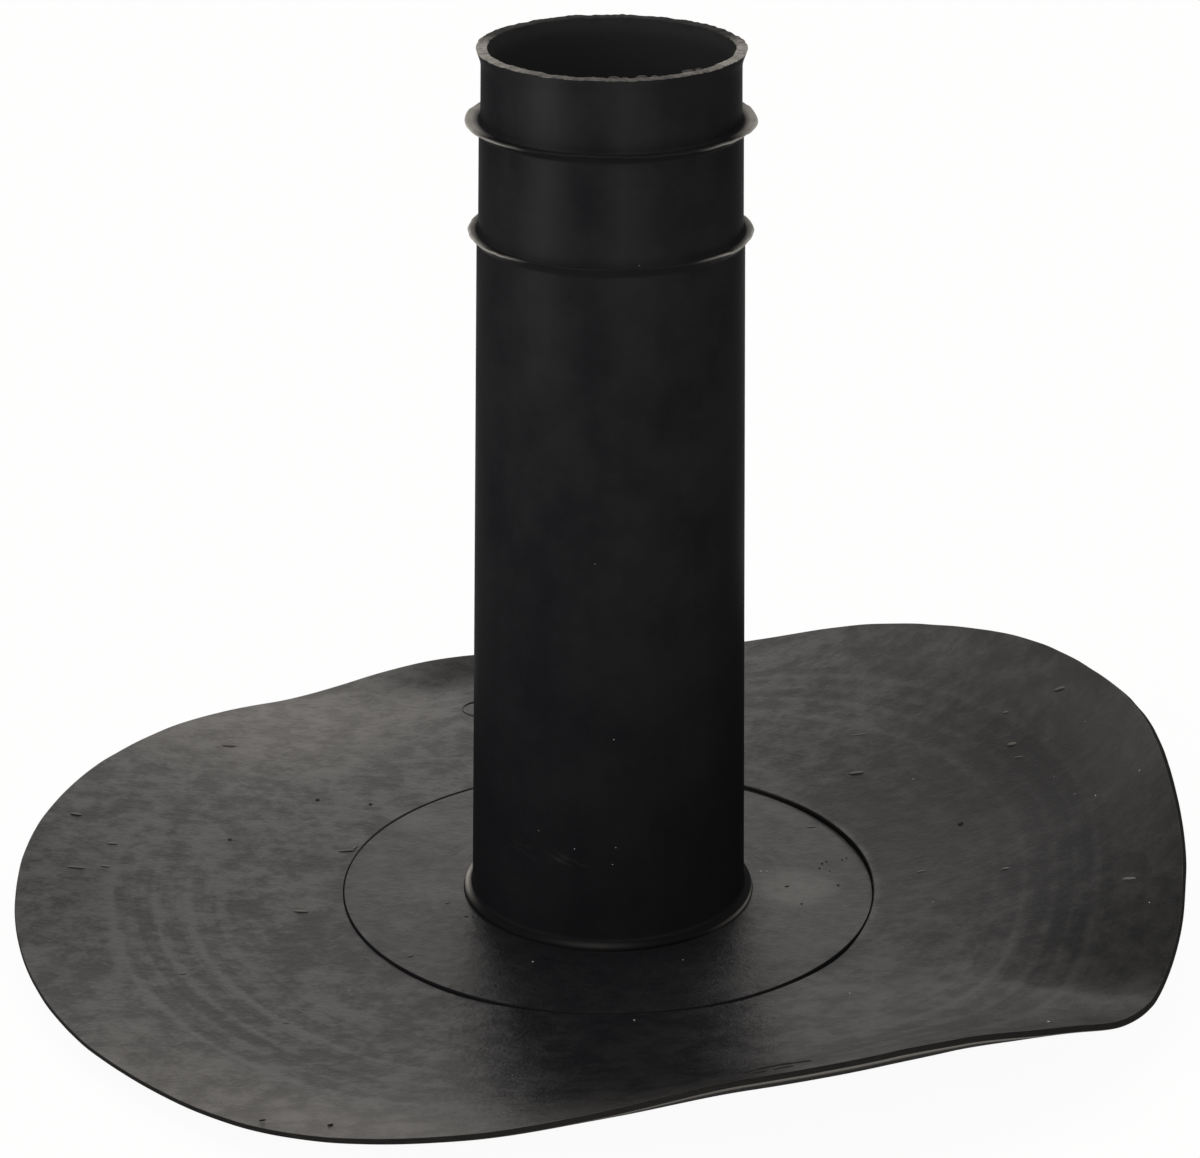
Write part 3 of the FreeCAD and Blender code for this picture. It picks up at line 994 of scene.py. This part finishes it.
def undersideRubber():
    # dull and dusty below, with a painted reflection as a pale strip along the front, dark on the cut rim
    bench = Bench(bpy.data.materials.new("undersideRubber"))
    place = bench.place()
    blotch = bench.noise(place, 45.0, 5.0, 0.6)
    colour = bench.mixColour(blotch, *undersideLook["dusty"])
    colour = bench.mixColour(bench.mark("strip"), colour, undersideLook["strip"])
    scraped = bench.noise(bench.stretch(place, (300, 300, 2500)), 1.0, 2.0)
    colour = bench.mixColour(bench.mark("rimFace"), colour, bench.mixColour(scraped, *undersideLook["rim"]))
    normal = bench.bump(bench.noise(place, 600.0, 3.0), undersideLook["grain"])
    return bench.surface(bench.principled(colour, 0.55 + 0.2 * blotch, undersideLook["ior"], normal))


nibLook = {
    "dark": (0.006, 0.006, 0.006, 1),
    "pale": (0.125, 0.121, 0.113, 1),
    "grain": 0.00005,
    "ior": 1.25,
}


def nibRubber():
    # scraped rubber, paler than the sheet, painted pale on top as painted light and dark below as painted shade
    bench = Bench(bpy.data.materials.new("nibRubber"))
    place = bench.place()
    cloud = bench.noise(place, 300.0, 3.0)
    colour = bench.mixColour(bench.mark("crest") * (0.5 + cloud), nibLook["dark"], nibLook["pale"])
    normal = bench.bump(bench.noise(place, 900.0, 2.0), nibLook["grain"])
    return bench.surface(bench.principled(colour, 0.5 + 0.2 * cloud, nibLook["ior"], normal))


dustLook = {"dark": (0.20, 0.195, 0.185, 1), "pale": (0.60, 0.59, 0.56, 1), "ior": 1.5}


def dustPowder():
    bench = Bench(bpy.data.materials.new("dustPowder"))
    cloud = bench.noise(bench.place(), 60.0, 3.0)
    colour = bench.mixColour(cloud, dustLook["dark"], dustLook["pale"])
    return bench.surface(bench.principled(colour, 0.75 + 0.2 * cloud, dustLook["ior"]))


flangeFinish = flangeRubber()
pieces = (
    (buildStem(), (tubeRubber(), flangeFinish, lipRubber())),
    (buildFlange(), (flangeFinish, undersideRubber())),
    (buildNibs(), (nibRubber(),)),
    (buildWitness(), (flangeFinish,)),
    (buildDust(), (dustPowder(),)),
)
for piece, finishes in pieces:
    for finish in finishes:
        piece.data.materials.append(finish)
    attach(piece, "root")
    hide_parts("drain_outlet")
print("pieces dressed", len(pieces))


# floor and light

studio = {
    "floorSize": 12.0,
    "floorGap": 0.0002,
    "floorTone": (0.86, 0.86, 0.855, 1),
    "floorShow": 0.95,
    "white": (1, 1, 1, 1),
    "tint": (1.0, 0.960, 0.918, 1),
    # level of the room, and what it loses low down at the back left and at the right
    "level": 1.06,
    "leftLoss": 0.60,
    "rightLoss": 0.28,
    # height of the direction and level
    "front": ((0.0, 0.30), (0.2, 0.40), (0.4, 0.76), (0.6, 0.66), (0.70, 0.85), (0.82, 1.40), (1.0, 1.45)),
    "back": (
        (0.0, 0.45), (0.12, 0.75), (0.22, 1.02), (0.36, 1.22), (0.43, 1.26), (0.49, 1.08), (0.54, 0.64),
        (0.61, 0.52), (0.70, 0.85), (0.82, 1.40), (1.0, 1.45),
    ),
    # name, place, width, height and power of each lamp, in metres and watts, all aimed at one spot
    "lamps": (
        ("leftStrip", (-1.15, -0.66, 0.45), 0.35, 1.0, 5.0),
        ("rightStrip", (0.72, -1.10, 0.45), 0.25, 1.0, 1.8),
    ),
    "lampAim": (0, 0, 0.15),
}


def addFloor():
    half, below = studio["floorSize"] / 2, -studio["floorGap"]
    mesh = bpy.data.meshes.new("floor")
    corners = [(-half, -half, below), (half, -half, below), (half, half, below), (-half, half, below)]
    mesh.from_pydata(corners, [], [(0, 1, 2, 3)])
    floor = bpy.data.objects.new("floor", mesh)
    scene.collection.objects.link(floor)
    bench = Bench(bpy.data.materials.new("floorPaper"))
    seen = bench.rays("Is Camera Ray", "Is Glossy Ray", "Is Transmission Ray")
    paper = bench.node("ShaderNodeBsdfDiffuse", {}, {"Color": studio["floorTone"]})
    white = bench.node("ShaderNodeEmission", {}, {"Color": studio["white"], "Strength": 1.0})
    mesh.materials.append(bench.surface(bench.mixShader(seen * studio["floorShow"], paper, white)))


def addWorld():
    # soft room: bright overhead and low down behind the object, duller in front, at the right and back left
    world = bpy.data.worlds.new("studio")
    scene.world = world
    bench = Bench(world)
    aim = bench.place("Generated")
    x, y, z = (bench.node("ShaderNodeSeparateXYZ", {}, {0: aim}, part) for part in "XYZ")
    behind = bench.clamp(y, -0.15, 0.45)
    low = 1.0 - bench.clamp(z, 0.55, 0.80)
    left = bench.clamp(0.0 - x, 0.12, 0.36) * behind * low
    right = bench.clamp(x, -0.10, 0.14)
    strength = studio["level"] - studio["leftLoss"] * left - studio["rightLoss"] * right
    front = bench.node("ShaderNodeValToRGB", {"stops": studio["front"]}, {0: z})
    back = bench.node("ShaderNodeValToRGB", {"stops": studio["back"]}, {0: z})
    tinted = bench.mixColour(1.0, bench.mixColour(behind, front, back), studio["tint"], "MULTIPLY")
    light = bench.node("ShaderNodeBackground", {}, {"Color": tinted, "Strength": strength})
    # seen directly, the room is white like the floor
    white = bench.node("ShaderNodeBackground", {}, {"Color": studio["white"], "Strength": 1.0})
    shader = bench.mixShader(bench.rays("Is Camera Ray", "Is Transmission Ray"), light, white)
    bench.node("ShaderNodeOutputWorld", {}, {"Surface": shader})


def addLamp(name, place, width, height, power):
    data = bpy.data.lights.new(name, "AREA")
    data.shape = "RECTANGLE"
    data.size = width
    data.size_y = height
    data.energy = power
    lamp = bpy.data.objects.new(name, data)
    lamp.location = place
    lamp.rotation_euler = (Vector(studio["lampAim"]) - Vector(place)).to_track_quat("-Z", "Y").to_euler()
    scene.collection.objects.link(lamp)


addFloor()
addWorld()
for lampSetting in studio["lamps"]:
    addLamp(*lampSetting)
print("floor and light placed")
